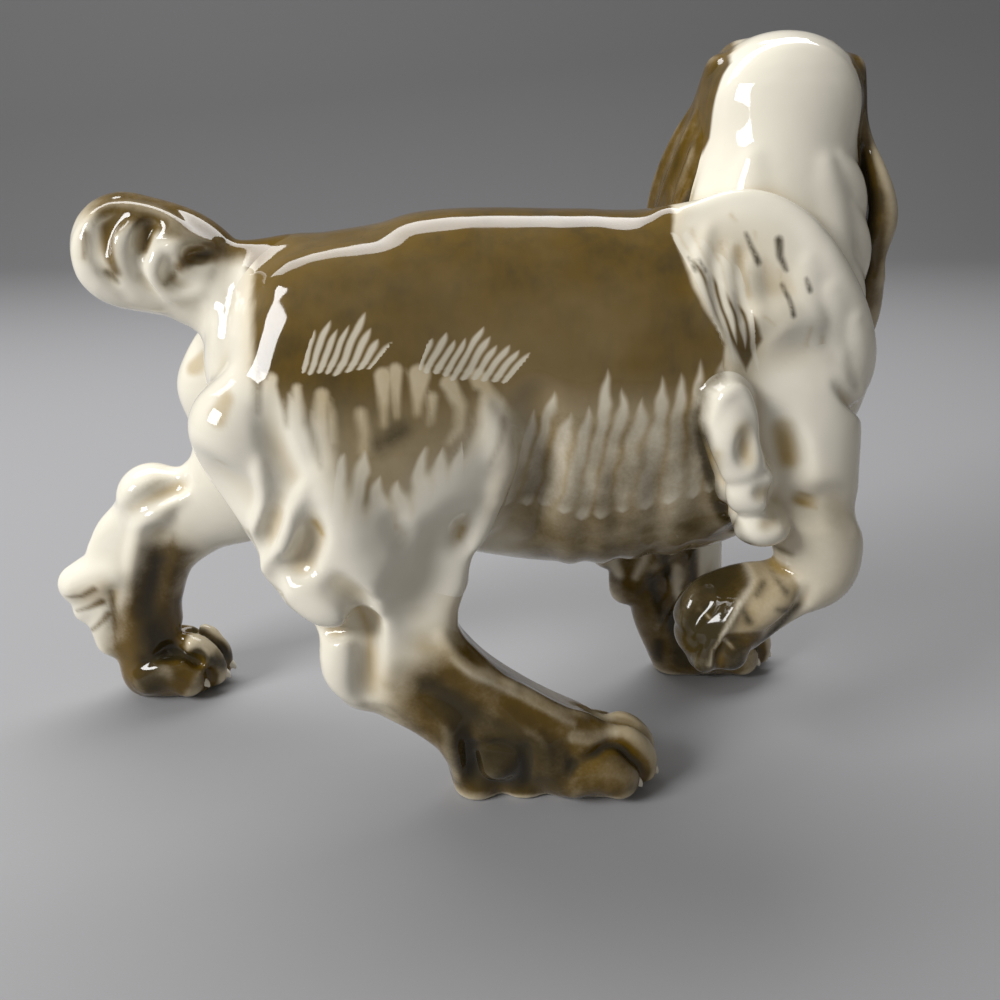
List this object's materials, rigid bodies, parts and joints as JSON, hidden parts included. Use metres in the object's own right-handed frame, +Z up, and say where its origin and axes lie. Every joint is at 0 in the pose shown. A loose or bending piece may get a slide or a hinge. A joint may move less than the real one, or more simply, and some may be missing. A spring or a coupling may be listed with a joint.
{
  "type": "dog figurine",
  "caption": "Glazed porcelain spaniel that walks with a forepaw raised and its head turned, made of castings luted together; an ornament that stands on its paws.",
  "frame": {"origin": "on the ground, under the middle of the figure's box", "axes": "+Z up, +X towards the dog's chest, +Y to the dog's left"},
  "size_m": [0.2008, 0.0916, 0.162],
  "materials": {
    "white_glaze": "clear gloss glaze over warm white porcelain",
    "brown_glaze": "clear gloss glaze over olive-brown underglaze paint"
  },
  "bodies": {
    "root": {"torso": "white_glaze", "head": "white_glaze", "right_ear": "brown_glaze", "left_ear": "brown_glaze", "tail": "white_glaze", "right_foreleg": "white_glaze", "left_foreleg": "white_glaze", "right_hind_leg": "white_glaze", "left_hind_leg": "white_glaze"}
  },
  "joints": []
}
